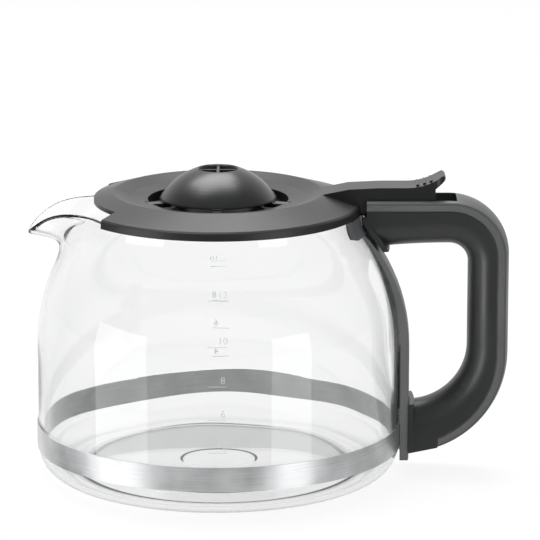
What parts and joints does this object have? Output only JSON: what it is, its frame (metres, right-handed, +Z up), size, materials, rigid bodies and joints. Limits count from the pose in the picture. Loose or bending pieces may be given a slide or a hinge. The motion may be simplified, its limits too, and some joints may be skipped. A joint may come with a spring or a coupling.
{
  "type": "coffee carafe",
  "caption": "Round glass coffee jug with a pouring spout, steel band, two-part D-shaped handle, and a hinged lid with a drip dome and a thumb lever.",
  "frame": {"origin": "middle of the ring that the jug stands on, at the standing surface", "axes": "+Z up along the jug's axis, +X from the axis towards the handle, spout towards -X"},
  "size_m": [0.215, 0.164, 0.1386],
  "materials": {
    "glass": "clear borosilicate glass",
    "band_steel": "brushed stainless steel",
    "zinc_steel": "plain zinc-plated steel",
    "cover_plastic": "matte dark grey",
    "soft_rubber": "soft dark silicone",
    "black_plastic": "fine matte black",
    "lid_plastic": "fine matte black",
    "dome_plastic": "satin black"
  },
  "bodies": {
    "jug": {"glass_jug": "glass", "clamp_band": "band_steel", "clamp_plate": "zinc_steel", "clamp_screw": "zinc_steel", "handle_spine": "cover_plastic", "neck_pad": "soft_rubber", "spine_pad": "soft_rubber", "handle_grip": "black_plastic", "handle_cover": "cover_plastic", "top_screw": "zinc_steel", "hinge_pin": "zinc_steel"},
    "lid": {"lid_shell": "lid_plastic", "drip_dome": "dome_plastic"}
  },
  "joints": [
    {"name": "lid_hinge", "type": "hinge", "parent": "jug", "child": "lid", "pos_m": [0.0718, 0, 0.1185], "axis": [0, 1, 0], "range_deg": [0, 30]}
  ]
}
